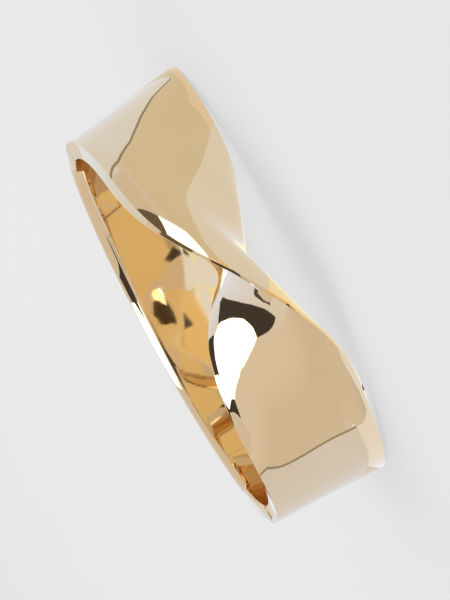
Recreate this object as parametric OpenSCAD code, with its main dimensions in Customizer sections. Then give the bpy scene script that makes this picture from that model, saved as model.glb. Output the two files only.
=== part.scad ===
// Hinged bangle: an oval band of polished metal, plain at the back,
// whose front half makes a half turn about its own middle line.
// The bangle lies on its side: Z is the wrist's axis, +X the clasp end,
// -X the hinge end and -Y the twisted front. Origin on the floor plane,
// under the middle of the whole bangle.

/* [Oval] */
// Length of the oval over its outside, from the hinge to the clasp
oval_length = 66; // [60:0.5:72]
// Depth of the plain oval over its outside, from the back to the front
oval_depth = 53; // [48:0.5:58]
// Thickness of the wall where the band is plain
wall = 2.9; // [2.6:0.1:3.4]
// How much fuller than the oval the back half stands towards the hinge
back_full = 0.7; // [0:0.1:1]

/* [Band] */
// Width of the band at the hinge end
hinge_width = 18.5; // [17.5:0.1:19.5]
// Width of the band at the clasp end
clasp_width = 19.5; // [18.5:0.1:20.5]
// How much farther the lower rim reaches than the upper one at the clasp end
clasp_flare = 3; // [0:0.1:3.6]

/* [Twist] */
// Width of the twisted band at its two broad stretches
broad_width = 18.3; // [17.5:0.1:19.5]
// Width of the twisted band at the middle, where it stands on edge
waist_width = 21.7; // [19:0.1:22.5]
// Greatest thickness at the middle of the twist
waist_thickness = 5.1; // [4:0.1:6]
// Thickness of the edges once they have thinned to a ridge
ridge_edge = 0.5; // [0.4:0.1:1]
// How far the middle of the twist stands out from the oval
waist_out = 1.8; // [0:0.1:3]
// How far the middle of the twist stands above the band's middle line
waist_lift = 1.5; // [0:0.1:2]
// Where the half turn has its middle, as a share of the front
turn_middle = 0.46; // [0.44:0.01:0.54]
// How much of the half turn is made near that middle; more is quicker
turn_rate = 2.4; // [1.8:0.1:3]
// How flat the domed face stays before it falls away to its edges
dome_power = 4.5; // [2:0.1:5]

/* [Hinge and clasp] */
// Diameter of the hinge pin
pin_d = 1.4; // [1.2:0.1:1.5]
// Share of the band's width that the hinge lug and the clasp lug take
lug_share = 0.6; // [0.5:0.05:0.7]
// Gap between parts that move past each other
gap = 0.2; // [0.15:0.05:0.3]
// How far the clasp's two ears reach past the end of the oval
ear_reach = 2.4; // [2:0.1:3]
// How far the clasp tongue stands out of the back half
tongue_reach = 3; // [2.5:0.1:3.2]

/* [Hidden] */

gold = [0.86, 0.72, 0.47];
gold_deep = [0.80, 0.62, 0.34];

// Half axes of the oval through the middle of the wall
half_x = (oval_length - wall) / 2;
half_y = (oval_depth - wall) / 2;

// The fullness grows from this angle past the clasp and fades at the hinge
full_from = 55;
full_over = 75;
full_to = 176;
full_fade = 28;

// Middle of the whole bangle, seen from above, from the middle of the oval
middle_x = clasp_flare / 2;
middle_y = (wall / 2 + fullness(90) - waist_out - waist_width / 2) / 2;

front_steps = 84;
back_steps = 60;
face_steps = 10;

// Rounding of the back half's inner rims: across the wall, and down it near
// the clasp and near the hinge
rim_across = 2;
rim_down_clasp = 1.8;
rim_down_hinge = 0.8;
rim_steps = 4;
rim_ease = 0.3;
// Its depth changes from the one to the other over these angles
rim_change_from = 62;
rim_change_over = 46;
// The rounding stops this many degrees short of the clasp and the hinge
rim_stop_clasp = 19;
rim_stop_hinge = 28;
rim_runout = 3;

// The edges thin to a ridge between these shares of the front
thin_from = 0.17;
thin_to = 0.44;
// Where the dome passes from one face to the other, and over what share
dome_swap = 0.59;
dome_swap_over = 0.31;

flare_span = 66;

knuckle_r = wall / 2 - 0.05;
bore_gap = 0.05;
seat_gap = 0.02;
pin_inset = 0.15;

tongue_width = 5;
tongue_thick = 0.7;
tongue_root = 3;
pocket_gap = 0.2;

hinge_low = hinge_width * (1 - lug_share) / 2;
hinge_high = hinge_width - hinge_low;
clasp_low = clasp_width * (1 - lug_share) / 2;
clasp_high = clasp_width - clasp_low;

function smooth(x) = let (c = max(0, min(1, x))) c * c * (3 - 2 * c);
function mix(p, q, s) = p + (q - p) * s;
function tanh(x) = (exp(2 * x) - 1) / (exp(2 * x) + 1);

// Width of the plain band over the point x of the oval
function width_at(x) =
    mix(hinge_width, clasp_width, (x / half_x + 1) / 2);

// A point of the oval and the way out from it; side is -1 at the front
function oval(t, side) = [half_x * cos(t), side * half_y * sin(t)];
function way_out(t, side) =
    let (n = [half_y * cos(t), side * half_x * sin(t)]) n / norm(n);

// Flare of the band near the clasp, from 1 at the end of the oval to 0
function flare(t) =
    abs(t) < flare_span ? pow(cos(90 * t / flare_span), 2) : 0;

// How far the back half stands outside the oval
function fullness(t) =
    back_full * smooth((t - full_from) / full_over) * smooth((full_to - t) / full_fade);

// Puts a point of a section, o out from the wall's middle and z up, in place
function place(t, side, o, z) =
    let (p = oval(t, side),
         n = way_out(t, side),
         w = width_at(p[0]),
         lean = clasp_flare * flare(t) * (1 - z / w),
         q = p + n * (o + lean))
    [q[0], q[1], max(0, z)];

// Angle that the band has turned through at share q of the front
function turn(q) =
    let (u = (q - turn_middle) / (q < turn_middle ? turn_middle : 1 - turn_middle),
         turned = tanh(turn_rate * u) / tanh(turn_rate))
    90 * (1 + turned);

// Width of the twisted band
function band_width(q, plain) =
    let (s = pow(sin(180 * q), 2),
         broad = pow(sin(360 * q), 2))
    mix(plain, waist_width, s * s) + (broad_width - plain) * broad;

// Thickness of the edges, and of the middle of the section
function edge_thickness(q) =
    let (m = min(q, 1 - q))
    mix(wall, ridge_edge, smooth((m - thin_from) / (thin_to - thin_from)));
function middle_thickness(q) =
    mix(wall, waist_thickness, pow(sin(180 * q), 2));

// One section of the front half, from the first edge to the second along
// one face and back along the other; the outer face is the domed one
function front_section(share) =
    let (t = 180 * share,
         q = max(0, share),
         a = turn(q),
         plain = width_at(half_x * cos(t)),
         w = band_width(q, plain),
         e = edge_thickness(q),
         m = middle_thickness(q),
         swap = smooth((q - dome_swap) / dome_swap_over + 0.5),
         edge_h = mix(-1, 1, swap) * (wall - e) / 2,
         crown_first = mix(m - wall / 2, wall / 2, swap),
         crown_second = mix(wall / 2, m - wall / 2, swap),
         mid = pow(sin(180 * q), 2),
         out = waist_out * mid,
         up = plain / 2 + waist_lift * mid)
    [for (side = [1, -1])
        for (i = [0 : face_steps])
            let (v = side * sin(90 * (2 * i / face_steps - 1)),
                 crown = side > 0 ? crown_first : crown_second,
                 rise = crown - side * edge_h - e / 2,
                 dome = 1 - pow(abs(v), dome_power),
                 h = edge_h + side * (e / 2 + rise * dome))
            place(t, -1,
                  out + v * w / 2 * sin(a) + h * cos(a),
                  up + v * w / 2 * cos(a) - h * sin(a))];

// One section of the back half: a flat wall whose inner rims are rounded
function back_section(t) =
    let (w = width_at(half_x * cos(t)),
         inner = fullness(t) - wall / 2,
         outer = fullness(t) + wall / 2,
         k = smooth(min(t - rim_stop_clasp, 180 - rim_stop_hinge - t) / rim_runout),
         change = smooth((t - rim_change_from) / rim_change_over),
         across = mix(rim_ease, rim_across, k),
         down = mix(rim_ease, mix(rim_down_clasp, rim_down_hinge, change), k))
    concat(
        [for (i = [rim_steps : -1 : 0])
            let (c = 90 * i / rim_steps)
            place(t, 1, inner + across * (1 - sin(c)), down * (1 - cos(c)))],
        [place(t, 1, outer, 0), place(t, 1, outer, w)],
        [for (i = [0 : rim_steps])
            let (c = 90 * i / rim_steps)
            place(t, 1, inner + across * (1 - sin(c)), w - down * (1 - cos(c)))]);

// A closed skin through sections of the same even count of points; each
// end is closed by a ladder between its first and its second half
module skin(sections) {
    count = len(sections);
    n = len(sections[0]);
    points = [for (s = sections) for (p = s) p];
    sides = [for (i = [0 : count - 2])
        for (j = [0 : n - 1])
            let (k = (j + 1) % n)
            for (f = [0, 1])
                f == 0
                    ? [i * n + j, (i + 1) * n + j, (i + 1) * n + k]
                    : [i * n + j, (i + 1) * n + k, i * n + k]];
    first = [for (j = [0 : n / 2 - 2])
        for (f = [0, 1])
            f == 0 ? [j, j + 1, n - 2 - j] : [j, n - 2 - j, n - 1 - j]];
    last = [for (f = first) [for (j = [2, 1, 0]) (count - 1) * n + f[j]]];
    polyhedron(points, concat(sides, first, last), convexity = 6);
}

// Moves the bangle from the oval's own middle to the part's origin
module centred() {
    translate([-middle_x, -middle_y, 0]) children();
}

// A round bar on the hinge's axis
module on_hinge(r, from, to) {
    translate([-half_x, 0, from]) cylinder(r = r, h = to - from, $fn = 48);
}

// A block across the wall at one end of the oval
module block(x, y_from, y_to, z_from, z_to) {
    translate([x - 2 * wall, y_from, z_from])
        cube([4 * wall, y_to - y_from, z_to - z_from]);
}

// The tongue's plate, along the lean of the wall, and the room round it
module plate(room) {
    lean = atan(clasp_flare / clasp_width);
    translate([half_x + clasp_flare / 2, 0, clasp_width / 2])
        rotate([0, -lean, 0])
            translate([-tongue_thick / 2 - room, -tongue_reach - room, -tongue_width / 2 - room])
                cube([tongue_thick + 2 * room,
                      tongue_reach + tongue_root + 2 * room,
                      tongue_width + 2 * room]);
}

// The twisted half, with the hinge's two ears at one end and the clasp's at
// the other, and a pocket for the tongue
module front_half() {
    past = 0.04;
    color(gold) centred() difference() {
        union() {
            skin([for (i = [0 : front_steps])
                front_section(mix(-past, 1, i / front_steps))]);
            on_hinge(knuckle_r, 0, hinge_low - gap / 2);
            on_hinge(knuckle_r, hinge_high + gap / 2, hinge_width);
        }
        block(-half_x, -knuckle_r - gap, wall, hinge_low - gap / 2, hinge_high + gap / 2);
        on_hinge(pin_d / 2 + seat_gap, -1, hinge_width + 1);
        block(half_x, ear_reach, 3 * wall, -1, clasp_width + 1);
        block(half_x, -gap, 2 * wall, clasp_low - gap / 2, clasp_high + gap / 2);
        plate(pocket_gap);
    }
}

// The plain half, with a lug between the ears at each end
module back_half() {
    hinge_cut = knuckle_r + gap;
    clasp_cut = ear_reach + gap;
    color(gold_deep) centred() difference() {
        union() {
            skin([for (i = [0 : back_steps]) back_section(180 - 180 * i / back_steps)]);
            on_hinge(knuckle_r, hinge_low + gap / 2, hinge_high - gap / 2);
        }
        block(-half_x, -wall, hinge_cut, -1, hinge_low + gap / 2);
        block(-half_x, -wall, hinge_cut, hinge_high - gap / 2, hinge_width + 1);
        on_hinge(pin_d / 2 + bore_gap, 0, hinge_width);
        block(half_x, -wall, clasp_cut, -1, clasp_low + gap / 2);
        block(half_x, -wall, clasp_cut, clasp_high - gap / 2, clasp_width + 1);
        plate(seat_gap);
    }
}

// The hinge's pin, fast in the ears
module hinge_pin() {
    color(gold) centred() on_hinge(pin_d / 2, pin_inset, hinge_width - pin_inset);
}

// The clasp's tongue, fast in the back half
module clasp_tongue() {
    color(gold_deep) centred() plate(0);
}

front_half();
back_half();
hinge_pin();
clasp_tongue();
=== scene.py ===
import math

import bmesh
import bpy
import numpy as np
from mathutils import Matrix, Vector


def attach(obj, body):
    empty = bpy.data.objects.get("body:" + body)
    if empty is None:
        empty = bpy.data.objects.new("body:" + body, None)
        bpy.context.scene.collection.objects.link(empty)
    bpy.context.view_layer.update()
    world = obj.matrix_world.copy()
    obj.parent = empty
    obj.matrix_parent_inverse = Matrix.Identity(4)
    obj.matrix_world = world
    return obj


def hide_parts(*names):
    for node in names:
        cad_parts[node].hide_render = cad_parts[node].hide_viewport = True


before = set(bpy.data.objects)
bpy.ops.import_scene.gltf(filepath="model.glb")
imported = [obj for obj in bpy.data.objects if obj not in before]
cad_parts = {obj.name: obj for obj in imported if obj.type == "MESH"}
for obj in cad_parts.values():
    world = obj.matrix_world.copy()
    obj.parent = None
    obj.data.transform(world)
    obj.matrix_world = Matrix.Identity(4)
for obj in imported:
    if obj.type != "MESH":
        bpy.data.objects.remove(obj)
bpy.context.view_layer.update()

# Lengths are in millimetres, as in the CAD model; MM turns them into metres.
MM = 0.001
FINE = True

# The plain oval band, its flare at the clasp and the fuller back
OVAL_LENGTH, OVAL_DEPTH, WALL = 66.0, 53.0, 2.9
HALF_X, HALF_Y = (OVAL_LENGTH - WALL) / 2, (OVAL_DEPTH - WALL) / 2
HINGE_WIDTH, CLASP_WIDTH = 18.5, 19.5
CLASP_FLARE, FLARE_SPAN = 3.0, 66.0
BACK_FULL, FULL_FROM, FULL_OVER, FULL_TO, FULL_FADE = 0.7, 55.0, 75.0, 176.0, 28.0

# The twist: widths, thicknesses, how far it stands out and where it turns
BROAD, WAIST, WAIST_THICK, RIDGE = 18.3, 21.7, 5.1, 0.5
WAIST_OUT, WAIST_LIFT = 1.8, 1.5
TURN_MIDDLE, TURN_RATE, DOME_POWER = 0.46, 2.4, 4.5
THIN_FROM, THIN_TO = 0.17, 0.44
DOME_SWAP, DOME_SWAP_OVER = 0.59, 0.31
FRONT_EASE = 0.16

# The back half's rounded inner rims and eased outer edges
RIM_ACROSS, RIM_DOWN_CLASP, RIM_DOWN_HINGE, RIM_EASE = 2.0, 1.8, 0.8, 0.3
RIM_CHANGE_FROM, RIM_CHANGE_OVER = 62.0, 46.0
RIM_STOP_CLASP, RIM_STOP_HINGE, RIM_RUNOUT = 19.0, 28.0, 3.0
BACK_EASE = 0.2

# Hinge and clasp
PIN_D, PIN_FAST, PIN_FREE = 1.4, 0.02, 0.05
LUG_SHARE, GAP, EAR_REACH = 0.6, 0.2, 2.4
KNUCKLE_R = WALL / 2 - 0.05
HINGE_LOW = HINGE_WIDTH * (1 - LUG_SHARE) / 2
HINGE_HIGH = HINGE_WIDTH - HINGE_LOW
CLASP_LOW = CLASP_WIDTH * (1 - LUG_SHARE) / 2
CLASP_HIGH = CLASP_WIDTH - CLASP_LOW
HINGE_CUT, CLASP_CUT = KNUCKLE_R + GAP, EAR_REACH + GAP

# Steps of the meshes
FRONT_STEPS, FRONT_ACROSS = (420, 44) if FINE else (160, 16)
BACK_STEPS, RIM_STEPS, FACE_POINTS = (300 if FINE else 120), 12, 23
PAST_CLASP, PAST_POINTS = 0.04, 20
EASE_POINTS, BAR_SIDES, SHARP_ANGLE = 5, 96, 30


def smooth(x):
    c = np.clip(x, 0.0, 1.0)
    return c * c * (3 - 2 * c)


def mix(p, q, s):
    return p + (q - p) * s


def fullness(deg):
    """How far the back half stands outside the oval."""
    rise = smooth((deg - FULL_FROM) / FULL_OVER)
    fall = smooth((FULL_TO - deg) / FULL_FADE)
    return BACK_FULL * float(rise * fall)


# The middle of the whole bangle, seen from the oval's own
MIDDLE = np.array([CLASP_FLARE / 2, (WALL / 2 + fullness(90) - WAIST_OUT - WAIST / 2) / 2])


def width_at(x):
    return mix(HINGE_WIDTH, CLASP_WIDTH, (x / HALF_X + 1) / 2)


def place(t, side, out, z):
    """Section points, out from the wall's middle and z up, at the angle t of the oval."""
    c, s = math.cos(t), math.sin(t)
    normal = np.array([HALF_Y * c, side * HALF_X * s])
    normal /= np.linalg.norm(normal)
    deg = math.degrees(t)
    flare = math.cos(math.radians(90 * deg / FLARE_SPAN)) ** 2 if abs(deg) < FLARE_SPAN else 0.0
    out = out + CLASP_FLARE * flare * (1 - z / width_at(HALF_X * c))
    x = HALF_X * c + normal[0] * out - MIDDLE[0]
    y = side * HALF_Y * s + normal[1] * out - MIDDLE[1]
    return np.stack([x, y, np.maximum(0.0, z)], -1)


def turn(q):
    """The angle of the twist at the share q of the front half."""
    u = (q - TURN_MIDDLE) / (TURN_MIDDLE if q < TURN_MIDDLE else 1 - TURN_MIDDLE)
    return math.radians(90 * (1 + math.tanh(TURN_RATE * u) / math.tanh(TURN_RATE)))


def ease_corners(points, corners, radius):
    """Rounds the named corners of a closed outline."""
    n = len(points)
    eased = []
    for i in range(n):
        here = points[i]
        if i not in corners:
            eased.append(here)
            continue
        ways = []
        for step in (-1, 1):
            to = points[(i + step) % n] - here
            length = np.linalg.norm(to)
            ways.append(here + to / length * min(radius, 0.45 * length))
        for k in range(EASE_POINTS):
            f = k / (EASE_POINTS - 1)
            eased.append((1 - f) ** 2 * ways[0] + 2 * f * (1 - f) * here + f ** 2 * ways[1])
    return np.array(eased)


def front_section(share):
    """The twisted half's section: share 0 is the clasp end, 1 the hinge end."""
    t = math.pi * share
    q = max(0.0, share)
    angle = turn(q)
    plain = width_at(HALF_X * math.cos(t))
    mid = math.sin(math.pi * q) ** 2
    width = mix(plain, WAIST, mid * mid) + (BROAD - plain) * math.sin(2 * math.pi * q) ** 2
    from_end = min(q, 1 - q)
    edge = mix(WALL, RIDGE, float(smooth((from_end - THIN_FROM) / (THIN_TO - THIN_FROM))))
    thick = mix(WALL, WAIST_THICK, mid)
    swap = float(smooth((q - DOME_SWAP) / DOME_SWAP_OVER + 0.5))
    edge_h = mix(-1, 1, swap) * (WALL - edge) / 2
    crowns = (mix(thick - WALL / 2, WALL / 2, swap), mix(WALL / 2, thick - WALL / 2, swap))
    n = FRONT_ACROSS + 1
    outline = []
    for side, crown in zip((1, -1), crowns):
        v = side * np.sin(np.linspace(-math.pi / 2, math.pi / 2, n))
        rise = crown - side * edge_h - edge / 2
        h = edge_h + side * (edge / 2 + rise * (1 - np.abs(v) ** DOME_POWER))
        outline.append(np.stack([v * width / 2, h], -1))
    outline = ease_corners(np.concatenate(outline), {0, n - 1, n, 2 * n - 1}, FRONT_EASE)
    v, h = outline[:, 0], outline[:, 1]
    out = WAIST_OUT * mid + v * math.sin(angle) + h * math.cos(angle)
    z = plain / 2 + WAIST_LIFT * mid + v * math.cos(angle) - h * math.sin(angle)
    return place(t, -1, out, z)


def back_section(t):
    """The plain half's section, its inner rims rounded between the two ends."""
    deg = math.degrees(t)
    width = width_at(HALF_X * math.cos(t))
    to_stop = min(deg - RIM_STOP_CLASP, 180 - RIM_STOP_HINGE - deg)
    k = float(smooth(to_stop / RIM_RUNOUT))
    change = float(smooth((deg - RIM_CHANGE_FROM) / RIM_CHANGE_OVER))
    across = mix(RIM_EASE, RIM_ACROSS, k)
    down = mix(RIM_EASE, mix(RIM_DOWN_CLASP, RIM_DOWN_HINGE, change), k)
    c = np.radians(np.linspace(90, 0, RIM_STEPS + 1))
    low = np.stack([-WALL / 2 + across * (1 - np.sin(c)), down * (1 - np.cos(c))], -1)
    high = low[::-1].copy()
    high[:, 1] = width - high[:, 1]
    heights = np.linspace(width - down, down, FACE_POINTS)[1:-1]
    inner = np.stack([np.full(len(heights), -WALL / 2), heights], -1)
    face = np.stack([np.full(FACE_POINTS, WALL / 2), np.linspace(0, width, FACE_POINTS)], -1)
    outline = np.concatenate([low, face, high, inner])
    n = len(low)
    outline = ease_corners(outline, {n, n + FACE_POINTS - 1}, BACK_EASE)
    return place(t, 1, outline[:, 0] + fullness(deg), outline[:, 1])


def link(name, data):
    obj = bpy.data.objects.new(name, data)
    bpy.context.collection.objects.link(obj)
    return obj


def mesh_object(name, bm):
    """An object of the mesh in bm, its faces turned outwards; frees bm."""
    mesh = bpy.data.meshes.new(name)
    bmesh.ops.recalc_face_normals(bm, faces=bm.faces)
    bm.to_mesh(mesh)
    bm.free()
    return link(name, mesh)


def skin(name, sections):
    """A closed mesh through the sections."""
    bm = bmesh.new()
    rings = [[bm.verts.new(p * MM) for p in section] for section in sections]
    for near, far in zip(rings, rings[1:]):
        for j in range(len(near)):
            k = (j + 1) % len(near)
            bm.faces.new((near[j], far[j], far[k], near[k]))
    bm.faces.new(rings[0])
    bm.faces.new(rings[-1][::-1])
    return mesh_object(name, bm)


def bar(name, radius, low, high):
    """A round bar on the hinge's axis."""
    bm = bmesh.new()
    bmesh.ops.create_cone(bm, cap_ends=True, segments=BAR_SIDES, radius1=radius * MM,
                          radius2=radius * MM, depth=(high - low) * MM)
    centre = Vector((-HALF_X - MIDDLE[0], -MIDDLE[1], (low + high) / 2))
    bmesh.ops.translate(bm, verts=bm.verts, vec=centre * MM)
    return mesh_object(name, bm)


def block(name, x, y0, y1, z0, z1):
    """A block through the wall at x."""
    bm = bmesh.new()
    bmesh.ops.create_cube(bm, size=1)
    bmesh.ops.scale(bm, verts=bm.verts, vec=Vector((4 * WALL, y1 - y0, z1 - z0)) * MM)
    centre = Vector((x - MIDDLE[0], (y0 + y1) / 2 - MIDDLE[1], (z0 + z1) / 2))
    bmesh.ops.translate(bm, verts=bm.verts, vec=centre * MM)
    return mesh_object(name, bm)


def apply(obj, tools):
    """Joins obj with the tools or cuts it, and removes them."""
    for kind, tool in tools:
        modifier = obj.modifiers.new(kind, "BOOLEAN")
        modifier.operation = kind
        modifier.solver = "EXACT"
        modifier.object = tool
    depsgraph = bpy.context.evaluated_depsgraph_get()
    mesh = bpy.data.meshes.new_from_object(obj.evaluated_get(depsgraph))
    obj.modifiers.clear()
    old = obj.data
    obj.data = mesh
    mesh.name = obj.name
    bpy.data.meshes.remove(old)
    for _, tool in tools:
        old = tool.data
        bpy.data.objects.remove(tool)
        bpy.data.meshes.remove(old)


def shade(obj):
    """Smooth shading with sharp edges where faces meet at more than SHARP_ANGLE."""
    bm = bmesh.new()
    bm.from_mesh(obj.data)
    bmesh.ops.remove_doubles(bm, verts=bm.verts, dist=1e-7)
    for f in bm.faces:
        f.smooth = True
    limit = math.radians(SHARP_ANGLE)
    for e in bm.edges:
        e.smooth = not (len(e.link_faces) == 2 and e.calc_face_angle(0) > limit)
    bm.to_mesh(obj.data)
    bm.free()


# The twisted half, from a little past the clasp's middle to the hinge
shares = np.concatenate([np.linspace(-PAST_CLASP, 0, PAST_POINTS)[:-1],
                         np.linspace(0, 1, FRONT_STEPS + 1)])
front = skin("front_band", [front_section(float(s)) for s in shares])
apply(front, [
    ("UNION", bar("ear_low", KNUCKLE_R, 0, HINGE_LOW - GAP / 2)),
    ("UNION", bar("ear_high", KNUCKLE_R, HINGE_HIGH + GAP / 2, HINGE_WIDTH)),
    ("DIFFERENCE", block("hinge_slot", -HALF_X, -HINGE_CUT, WALL,
                         HINGE_LOW - GAP / 2, HINGE_HIGH + GAP / 2)),
    ("DIFFERENCE", bar("bore", PIN_D / 2 + PIN_FAST, -1, HINGE_WIDTH + 1)),
    ("DIFFERENCE", block("ear_end", HALF_X, EAR_REACH, 3 * WALL, -1, CLASP_WIDTH + 1)),
    ("DIFFERENCE", block("clasp_slot", HALF_X, -GAP, 2 * WALL,
                         CLASP_LOW - GAP / 2, CLASP_HIGH + GAP / 2)),
])
shade(front)

# The plain half
back = skin("back_band", [back_section(math.pi * i / BACK_STEPS) for i in range(BACK_STEPS + 1)])
apply(back, [
    ("UNION", bar("lug", KNUCKLE_R, HINGE_LOW + GAP / 2, HINGE_HIGH - GAP / 2)),
    ("DIFFERENCE", block("hinge_cut_low", -HALF_X, -WALL, HINGE_CUT, -1, HINGE_LOW + GAP / 2)),
    ("DIFFERENCE", block("hinge_cut_high", -HALF_X, -WALL, HINGE_CUT,
                         HINGE_HIGH - GAP / 2, HINGE_WIDTH + 1)),
    ("DIFFERENCE", bar("lug_bore", PIN_D / 2 + PIN_FREE, 0, HINGE_WIDTH)),
    ("DIFFERENCE", block("clasp_cut_low", HALF_X, -WALL, CLASP_CUT, -1, CLASP_LOW + GAP / 2)),
    ("DIFFERENCE", block("clasp_cut_high", HALF_X, -WALL, CLASP_CUT,
                         CLASP_HIGH - GAP / 2, CLASP_WIDTH + 1)),
])
shade(back)

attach(front, "front")
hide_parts("front_half")
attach(back, "back")
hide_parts("back_half")


# Materials
def new_material(name):
    """A material without nodes, and its node tree."""
    mat = bpy.data.materials.new(name)
    mat.use_nodes = True
    mat.node_tree.nodes.clear()
    return mat, mat.node_tree


def node(tree, kind, **sockets):
    """A node with values on its sockets; an underscore stands for a space."""
    made = tree.nodes.new(kind)
    for name, value in sockets.items():
        made.inputs[name.replace("_", " ")].default_value = value
    return made


def set_ramp(ramp, low, low_color, high, high_color):
    first, last = ramp.color_ramp.elements
    first.position, first.color = low, (*low_color, 1)
    last.position, last.color = high, (*high_color, 1)


def polished(name, color, deep, rough, seed, bump=0.02):
    """Plated metal under a polish, with faint wear and an uneven surface."""
    mat, t = new_material(name)
    out = t.nodes.new("ShaderNodeOutputMaterial")
    bsdf = node(t, "ShaderNodeBsdfPrincipled", Metallic=1.0)
    coord = t.nodes.new("ShaderNodeTexCoord")
    cloud = node(t, "ShaderNodeTexNoise", Scale=70.0, Detail=4.0)
    cloud.noise_dimensions = "4D"
    cloud.inputs["W"].default_value = seed
    t.links.new(coord.outputs["Object"], cloud.inputs["Vector"])
    ramp = t.nodes.new("ShaderNodeValToRGB")
    set_ramp(ramp, 0.3, deep, 0.75, color)
    t.links.new(cloud.outputs["Fac"], ramp.inputs["Fac"])
    t.links.new(ramp.outputs["Color"], bsdf.inputs["Base Color"])
    # fine hairlines of wear lift the roughness
    scratch = node(t, "ShaderNodeTexNoise", Scale=900.0, Detail=6.0, Roughness=0.7)
    t.links.new(coord.outputs["Object"], scratch.inputs["Vector"])
    wear = node(t, "ShaderNodeMapRange", From_Min=0.35, From_Max=0.8, To_Min=rough, To_Max=rough * 2.2)
    t.links.new(scratch.outputs["Fac"], wear.inputs["Value"])
    t.links.new(wear.outputs["Result"], bsdf.inputs["Roughness"])
    # the polished surface is a little uneven
    wave = node(t, "ShaderNodeTexNoise", Scale=110.0, Detail=2.0)
    t.links.new(coord.outputs["Object"], wave.inputs["Vector"])
    bumped = node(t, "ShaderNodeBump", Strength=bump, Distance=0.001)
    t.links.new(wave.outputs["Fac"], bumped.inputs["Height"])
    t.links.new(bumped.outputs["Normal"], bsdf.inputs["Normal"])
    t.links.new(bsdf.outputs["BSDF"], out.inputs["Surface"])
    return mat


def glow(name, color):
    """A plain light of one colour, for the cards."""
    mat, t = new_material(name)
    out = t.nodes.new("ShaderNodeOutputMaterial")
    light = node(t, "ShaderNodeEmission", Color=(*color, 1), Strength=1.0)
    t.links.new(light.outputs["Emission"], out.inputs["Surface"])
    return mat


gold = polished("gold_polish", (0.80, 0.62, 0.40), (0.78, 0.59, 0.365), 0.03, 1.7)
satin = polished("gold_satin", (0.72, 0.54, 0.32), (0.64, 0.47, 0.26), 0.22, 4.1, 0.05)
for obj in (front, back):
    obj.data.materials.clear()
    obj.data.materials.append(gold)
for name in ("hinge_pin", "clasp_tongue"):
    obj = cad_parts[name]
    if not obj.material_slots:
        obj.data.materials.append(satin)
    for material_slot in obj.material_slots:
        material_slot.material = satin

# Floor, in metres: 6 m square and 0.02 mm under the bangle, so that the two don't touch
FLOOR_HALF, FLOOR_CELLS, FLOOR_Z = 3.0, 40, -0.00002
bm = bmesh.new()
bmesh.ops.create_grid(bm, x_segments=FLOOR_CELLS, y_segments=FLOOR_CELLS, size=FLOOR_HALF)
mesh = bpy.data.meshes.new("floor")
bm.to_mesh(mesh)
bm.free()
floor = link("floor", mesh)
floor.location.z = FLOOR_Z
paper = bpy.data.materials.new("paper")
paper.use_nodes = True
tree = paper.node_tree
sheet = tree.nodes["Principled BSDF"]
sheet.inputs["Base Color"].default_value = (0.19, 0.187, 0.184, 1)
sheet.inputs["Roughness"].default_value = 0.9
sheet.inputs["Specular IOR Level"].default_value = 0.0
# lit a little from below, as a light table, so that shadows stay pale
sheet.inputs["Emission Color"].default_value = (0.62, 0.62, 0.62, 1)
sheet.inputs["Emission Strength"].default_value = 1.0
grain = node(tree, "ShaderNodeTexNoise", Scale=500.0)
lift = node(tree, "ShaderNodeBump", Strength=0.02, Distance=0.0002)
tree.links.new(grain.outputs["Fac"], lift.inputs["Height"])
tree.links.new(lift.outputs["Normal"], sheet.inputs["Normal"])
floor.data.materials.append(paper)

# Light cards round the bangle, seen only in its polish: they neither show to
# the camera nor light or shade the floor
LOOKS = {
    "white": (3.0, 3.0, 3.0),
    "black": (0.10, 0.085, 0.07),
    "dim": (0.17, 0.145, 0.12),
    "pale": (0.86, 0.96, 1.13),
    "cool": (0.81, 0.88, 1.02),
    "foot": (0.97, 1.05, 1.2),
    "soft": (0.89, 0.94, 1.02),
    "edge": (0.35, 0.33, 0.28),
    "warm": (0.80, 0.775, 0.68),
    "level": (0.79, 0.77, 0.73),
    "deep": (0.065, 0.057, 0.055),
    "cream": (0.92, 0.88, 0.80),
    "tan": (0.80, 0.78, 0.74),
    "amber": (0.96, 0.72, 0.36),
    "inner": (1.08, 1.08, 0.86),
}
looks = {name: glow("card_" + name, color) for name, color in LOOKS.items()}


def card(name, axis, at, outline, look):
    """A flat card across the axis; the outline is in the other two axes."""
    bm = bmesh.new()
    k = "xyz".index(axis)
    verts = []
    for p in outline:
        q = list(p)
        q.insert(k, at)
        verts.append(bm.verts.new(Vector(q) * MM))
    bm.faces.new(verts)
    mesh = bpy.data.meshes.new(name)
    bm.to_mesh(mesh)
    bm.free()
    mesh.materials.append(looks[look])
    obj = link(name, mesh)
    obj.visible_camera = False
    obj.visible_diffuse = False
    obj.visible_shadow = False
    obj.visible_transmission = False


# Beside the clasp end: a pale card cut on the slant, and a lamp under a flag
slant = [(12.5, -0.5), (8.7, 4.5), (3, 7.3), (-2.6, 8.8), (-7.1, 14.8), (-9.4, 24.4), (-11, 36)]
card("clasp_side", "x", 45, slant + [(-12, 90), (140, 90), (140, -0.5)], "pale")
card("clasp_side_edge", "x", 44.98,
     slant + [(y - 0.9, z - 0.4) for y, z in reversed(slant)], "edge")
card("clasp_lamp", "x", 45,
     [(-30.5, 16.5), (-33, 12), (-35.5, 6), (-37.5, -0.5), (-60, -0.5), (-60, 16.5)], "white")
card("clasp_flag", "x", 45,
     [(-16, 40), (-23, 27), (-27, 21.5), (-30.5, 16.6), (-70, 16.6), (-70, 60), (-16, 60)], "dim")
card("clasp_lamp_foot", "z", 0.1,
     [(21, -38.5), (30, -38), (45, -37.5), (45, -60), (19, -60)], "white")

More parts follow.
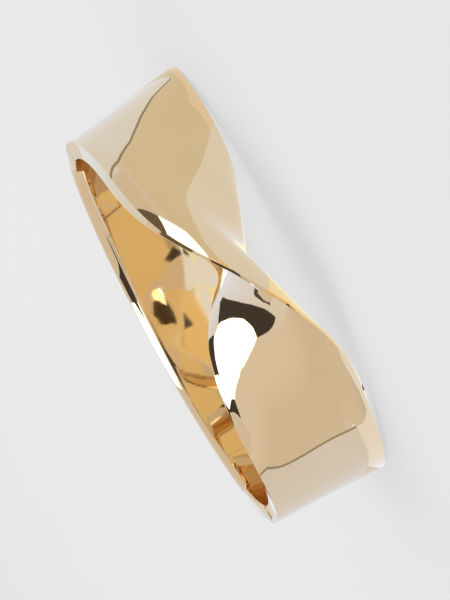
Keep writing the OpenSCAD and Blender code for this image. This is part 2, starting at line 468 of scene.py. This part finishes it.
# On the floor under the twist and before the hinge end
card("floor_front", "z", 0.02, [(22, -40), (140, -40), (140, 60), (22, 60)], "warm")
card("floor_hinge", "z", 0.02,
     [(-140, -140), (-10, -140), (-10, -45), (-21, -36), (-21, -24), (-31, -15.5),
      (-140, -15.5)], "level")
card("twist_foot", "z", 0.1,
     [(24, -5), (24, -20), (26, -33), (16, -36), (2, -39), (2, -5)], "soft")
card("twist_edge_foot", "z", 0.11,
     [(24, -12.5), (33, -9), (36, -2), (39, 4), (36, 8), (30, 4), (24, -5)], "cream")
card("hinge_foot", "z", 0.12,
     [(-60, -14), (-40, -14), (-31, -15.5), (-26, -17), (-23, -20), (-21, -24), (-21, -30),
      (-20.3, -30), (-20.3, -16.6), (-23.8, -13), (-28, -6), (-32, 4), (-60, 20)], "foot")

# Beside the hinge end
upright = [(-13, -0.5), (-13, 26), (-12.3, 32), (-8, 40)]
card("hinge_side", "x", -45, upright + [(140, 40), (140, -0.5)], "cool")
card("hinge_side_edge", "x", -44.98,
     upright + [(y - 0.8, z + 0.3) for y, z in reversed(upright)], "edge")

# Inside the oval and under the twist
card("inside", "z", 0.08,
     [(-24, -4), (-20.3, -13), (-20.3, -20), (-14, -29), (-10, -40), (2, -40), (2, -12),
      (8, -5), (26, 0), (20, 18), (0, 26), (-20, 18)], "inner")
card("inside_pale", "z", 0.085,
     [(-21, -16.5), (-15, -15.5), (-14, -6), (-7.5, 1), (-5.5, -1), (-7.5, -10), (-9.5, -17),
      (-12.5, -18), (-14.2, -27), (-16, -36), (-22, -36)], "foot")
card("inside_lamp", "z", 7,
     [(-15.2, -17.4), (-14.3, -17.1), (-12.9, -17.9), (-12.4, -18.7), (-11.5, -19.5),
      (-10.9, -20.4), (-10.5, -21.7), (-12, -21.9), (-13.5, -20.9), (-14.8, -19.8),
      (-15.3, -18.6)], "white")
card("inside_flag", "z", 7,
     [(-12.8, -17.6), (-10.5, -17.5), (-9.5, -18.1), (-8.2, -18.5), (-7.2, -19.5),
      (-6.6, -20.9), (-6.2, -21.5), (-6.2, -22.4), (-9.8, -22.3), (-10.5, -21.7),
      (-10.9, -20.4), (-11.5, -19.5), (-12.4, -18.7), (-12.9, -17.9)], "black")
card("inside_low_pale", "z", 2,
     [(-9, -6), (-4, -6), (-4, -19), (-5.5, -19.5), (-7.3, -18), (-9, -13)], "foot")
card("inside_spot", "z", 0.13, [(-21.5, -14), (-18, -14), (-18, -16.3), (-21.5, -18)], "black")
card("under_twist", "y", -34, [(-16, -0.5), (16, -0.5), (16, 7.5), (-16, 7.5)], "amber")
card("under_twist_flag", "y", -33.9, [(-10, 3), (-4.5, 2.6), (-4.5, 6), (-10, 6.5)], "black")

# Overhead: a lamp, the flag behind it, and small flags, shades and a lamp nearer to the twist
card("top_lamp", "z", 60,
     [(-14, -12), (-12, -3), (-9, 3), (-5, 10), (2, 15), (9, 21), (17, 28), (26, 42), (27, 10),
      (12, -8), (2, -24), (-6, -27)], "white")
card("top_flag", "z", 60.1,
     [(-14, -12), (-25, -9), (-37, -4), (-30, 12), (-20, 27), (-10, 38), (-1, 52), (8, 72),
      (17, 110), (27, 110), (28, 60), (26, 38), (10, 10)], "deep")
card("top_shade", "z", 30,
     [(-15.5, -5), (-16, -9.8), (-17, -12.2), (-19, -14.3), (-24, -15.5), (-27, -10),
      (-21, -5)], "tan")
card("neck_flag", "z", 34,
     [(-22.3, -10.5), (-20.8, -12), (-17.5, -6.5), (-15.3, 1), (-16.8, 4), (-20, 5),
      (-20.6, -3)], "black")
card("top_edge_lamp", "z", 21,
     [(-14.7, -13.5), (-13, -16), (-11, -15.8), (-9, -14.2), (-8.6, -12.4), (-8.8, -9.6),
      (-10, -10), (-12.5, -12)], "white")
card("inner_shade", "z", 21,
     [(9, -27), (15, -25), (17.5, -20.5), (20.5, -16), (22.5, -12), (23.5, -8), (22, 4),
      (20, 12), (12, 12), (11, 0)], "inner")

# Far in front, low
card("front_flag", "y", -70, [(-30, -0.5), (70, -0.5), (70, 23), (-30, 23)], "black")

# Just over the back half's rim: a lamp between two shades
card("rim_lamp", "z", 20.5,
     [(-10.8, 29), (-8.8, 28.1), (-6, 27), (-3.4, 26), (-2.8, 27.3), (0, 28.4), (4.4, 29.5),
      (4.6, 31.8), (1, 33.6), (-4.5, 34.2), (-10, 33)], "white")
card("rim_shade_hinge", "z", 20.5,
     [(-33, 14), (-15, 18.5), (-8.5, 26.5), (-8.8, 28.1), (-10.8, 29), (-10, 33), (-8, 36),
      (-25, 36), (-36, 24)], "tan")
card("rim_shade_clasp", "z", 20.5,
     [(4.7, 30.5), (9, 29.5), (10, 25.8), (13.5, 24.2), (15, 21.5), (20, 17.5), (26, 15),
      (27.5, 4), (32.5, 4), (33, 20), (26, 28), (16, 34), (1, 35.5), (4.8, 32)], "tan")

# World: neutral before the bangle, cooler and paler behind it, neutral again overhead
world = bpy.data.worlds.new("studio")
bpy.context.scene.world = world
world.use_nodes = True
tree = world.node_tree
sky = tree.nodes["Background"]
coord = tree.nodes.new("ShaderNodeTexCoord")
parts = tree.nodes.new("ShaderNodeSeparateXYZ")
tree.links.new(coord.outputs["Generated"], parts.inputs["Vector"])
behind = tree.nodes.new("ShaderNodeValToRGB")
set_ramp(behind, 0.20, (0.78, 0.76, 0.72), 0.26, (0.86, 0.96, 1.13))
tree.links.new(parts.outputs["Y"], behind.inputs["Fac"])
height = node(tree, "ShaderNodeMapRange", From_Min=0.55, From_Max=0.87)
tree.links.new(parts.outputs["Z"], height.inputs["Value"])
blend = tree.nodes.new("ShaderNodeMix")
blend.data_type = "RGBA"
MIX_A, MIX_B, MIX_RESULT = 6, 7, 2  # the colour mix's own sockets
tree.links.new(height.outputs["Result"], blend.inputs["Factor"])
tree.links.new(behind.outputs["Color"], blend.inputs[MIX_A])
blend.inputs[MIX_B].default_value = (0.86, 0.85, 0.84, 1)
tree.links.new(blend.outputs[MIX_RESULT], sky.inputs["Color"])
sky.inputs["Strength"].default_value = 1.0

# A large soft lamp behind and to the clasp side, for the floor's soft shadow; in metres
lamp_data = bpy.data.lights.new("soft_lamp", "AREA")
lamp_data.shape = "DISK"
lamp_data.size = 0.7
lamp_data.energy = 1.4
lamp = link("soft_lamp", lamp_data)
lamp.location = (0.25, 0.35, 0.6)
lamp.rotation_euler = (-lamp.location).to_track_quat("-Z", "Y").to_euler()
lamp.visible_glossy = False
lamp.visible_camera = False

# Camera: its angles and distance, the scale in pixels per millimetre, and where in the
# picture the middle of the plain oval is
AZ, EL, ROLL, FAR = math.radians(2.07), math.radians(8.77), math.radians(117.96), 600.0
SCALE, CX, CY = 6.557, 227.05, 303.91
PICTURE_WIDTH, PICTURE_HEIGHT, SENSOR_HEIGHT = 450, 600, 24.0
forward = Vector((-math.sin(AZ) * math.cos(EL), math.cos(AZ) * math.cos(EL), -math.sin(EL)))
right = Vector((math.cos(AZ), math.sin(AZ), 0))
up = right.cross(forward)
# the picture's own right and up
pic_right = math.cos(ROLL) * right - math.sin(ROLL) * up
pic_up = math.sin(ROLL) * right + math.cos(ROLL) * up
eye = Vector((-MIDDLE[0], -MIDDLE[1], HINGE_WIDTH / 2)) - forward * FAR
eye -= pic_right * (CX - PICTURE_WIDTH / 2) / SCALE
eye += pic_up * (CY - PICTURE_HEIGHT / 2) / SCALE
cam_data = bpy.data.cameras.new("camera")
cam_data.sensor_fit = "VERTICAL"
cam_data.sensor_height = SENSOR_HEIGHT
cam_data.lens = SCALE * FAR * SENSOR_HEIGHT / PICTURE_HEIGHT
cam_data.clip_start = 0.01
cam = link("camera", cam_data)
turn_to = Matrix((pic_right, pic_up, -forward)).transposed().to_4x4()
cam.matrix_world = Matrix.Translation(eye * MM) @ turn_to
scene = bpy.context.scene
scene.camera = cam
scene.view_settings.view_transform = "Standard"
scene.cycles.max_bounces = 16
scene.cycles.glossy_bounces = 12
scene.cycles.caustics_reflective = False
